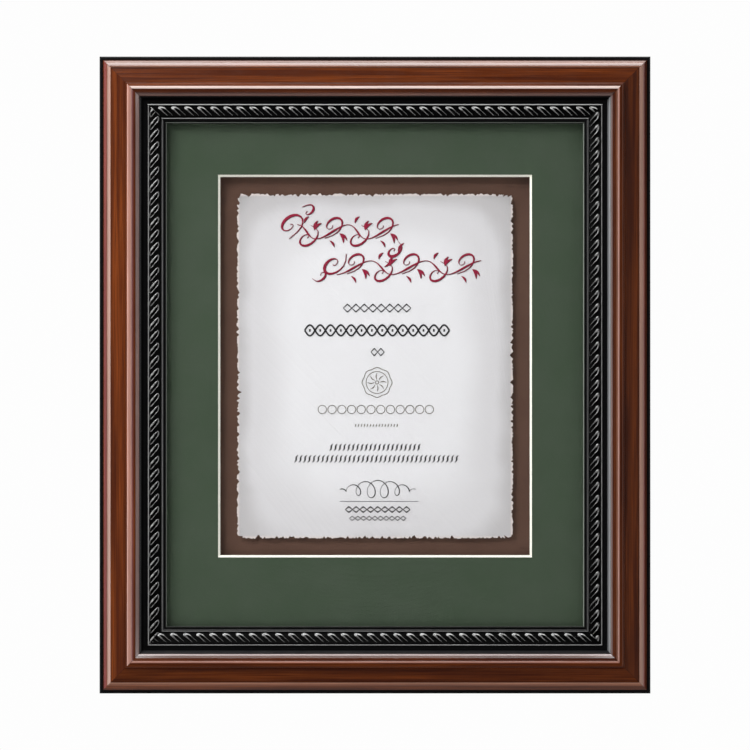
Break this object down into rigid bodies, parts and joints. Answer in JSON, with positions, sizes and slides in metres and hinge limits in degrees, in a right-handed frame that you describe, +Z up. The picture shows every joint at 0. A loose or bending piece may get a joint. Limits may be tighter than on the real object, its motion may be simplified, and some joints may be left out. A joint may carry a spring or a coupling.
{
  "type": "certificate frame",
  "caption": "Wall-hung certificate frame: mahogany moulding, black liner with a rope bead, green window mat and a floated deckle-edged sheet behind glass.",
  "frame": {"origin": "the point of the wall behind the middle of the frame, in the plane of the bumpers' faces", "axes": "+X right as seen from the front, +Z up, +Y into the wall, so the picture side faces -Y"},
  "size_m": [0.4064, 0.0342, 0.47],
  "materials": {
    "mahogany": "mahogany with a gloss lacquer, black on the outer step and the back",
    "black_lacquer": "black gloss lacquer on wood, black-brown on the back",
    "rope_ornament": "pressed wood rope, black gloss lacquer",
    "glass": "clear picture glass",
    "green_mat": "dark sage green facing paper, cream core at the bevel",
    "foam_board": "white foam board",
    "brown_board": "matt brown mount board",
    "parchment_paper": null,
    "hardboard": "brown hardboard",
    "nail_steel": "bright steel",
    "zinc_plate": "zinc plated steel",
    "bumper_rubber": "matt black rubber"
  },
  "bodies": {
    "frame": {"rail_top": "mahogany", "rail_bottom": "mahogany", "rail_left": "mahogany", "rail_right": "mahogany", "liner_top": "black_lacquer", "liner_bottom": "black_lacquer", "liner_left": "black_lacquer", "liner_right": "black_lacquer", "rope_bead_top": "rope_ornament", "rope_bead_bottom": "rope_ornament", "rope_bead_left": "rope_ornament", "rope_bead_right": "rope_ornament", "glass_pane": "glass", "mat_board": "green_mat", "spacer_top": "foam_board", "spacer_bottom": "foam_board", "spacer_left": "foam_board", "spacer_right": "foam_board", "float_riser": "foam_board", "mount_board": "brown_board", "certificate": "parchment_paper", "backing_board": "hardboard", "rail_v_nails": "nail_steel", "liner_v_nails": "nail_steel", "turn_button_screws": "zinc_plate", "hanger_screws": "zinc_plate", "hanger_strap_left": "zinc_plate", "hanger_strap_right": "zinc_plate", "wall_bumpers": "bumper_rubber"},
    "turn_button_top_left": {"turn_button_top_left": "zinc_plate"},
    "turn_button_top_right": {"turn_button_top_right": "zinc_plate"},
    "turn_button_bottom_left": {"turn_button_bottom_left": "zinc_plate"},
    "turn_button_bottom_right": {"turn_button_bottom_right": "zinc_plate"},
    "turn_button_left_lower": {"turn_button_left_lower": "zinc_plate"},
    "turn_button_left_upper": {"turn_button_left_upper": "zinc_plate"},
    "turn_button_right_lower": {"turn_button_right_lower": "zinc_plate"},
    "turn_button_right_upper": {"turn_button_right_upper": "zinc_plate"},
    "hanger_ring_left": {"hanger_ring_left": "zinc_plate"},
    "hanger_ring_right": {"hanger_ring_right": "zinc_plate"}
  },
  "joints": [
    {"name": "turn_button_top_left_turn", "type": "hinge", "parent": "frame", "child": "turn_button_top_left", "pos_m": [-0.0892, -0.0038, 0.20075], "axis": [0, 1, 0], "continuous": true},
    {"name": "turn_button_top_right_turn", "type": "hinge", "parent": "frame", "child": "turn_button_top_right", "pos_m": [0.0892, -0.0038, 0.20075], "axis": [0, 1, 0], "continuous": true},
    {"name": "turn_button_bottom_left_turn", "type": "hinge", "parent": "frame", "child": "turn_button_bottom_left", "pos_m": [-0.0892, -0.0038, -0.20075], "axis": [0, 1, 0], "continuous": true},
    {"name": "turn_button_bottom_right_turn", "type": "hinge", "parent": "frame", "child": "turn_button_bottom_right", "pos_m": [0.0892, -0.0038, -0.20075], "axis": [0, 1, 0], "continuous": true},
    {"name": "turn_button_left_lower_turn", "type": "hinge", "parent": "frame", "child": "turn_button_left_lower", "pos_m": [-0.169, -0.0038, -0.12095], "axis": [0, 1, 0], "continuous": true},
    {"name": "turn_button_left_upper_turn", "type": "hinge", "parent": "frame", "child": "turn_button_left_upper", "pos_m": [-0.169, -0.0038, 0.12095], "axis": [0, 1, 0], "continuous": true},
    {"name": "turn_button_right_lower_turn", "type": "hinge", "parent": "frame", "child": "turn_button_right_lower", "pos_m": [0.169, -0.0038, -0.12095], "axis": [0, 1, 0], "continuous": true},
    {"name": "turn_button_right_upper_turn", "type": "hinge", "parent": "frame", "child": "turn_button_right_upper", "pos_m": [0.169, -0.0038, 0.12095], "axis": [0, 1, 0], "continuous": true},
    {"name": "hanger_ring_left_swing", "type": "hinge", "parent": "frame", "child": "hanger_ring_left", "pos_m": [-0.1912, -0.00245, 0.06995], "axis": [-1, 0, 0], "range_deg": [0, 150]},
    {"name": "hanger_ring_right_swing", "type": "hinge", "parent": "frame", "child": "hanger_ring_right", "pos_m": [0.1912, -0.00245, 0.06995], "axis": [-1, 0, 0], "range_deg": [0, 150]}
  ]
}
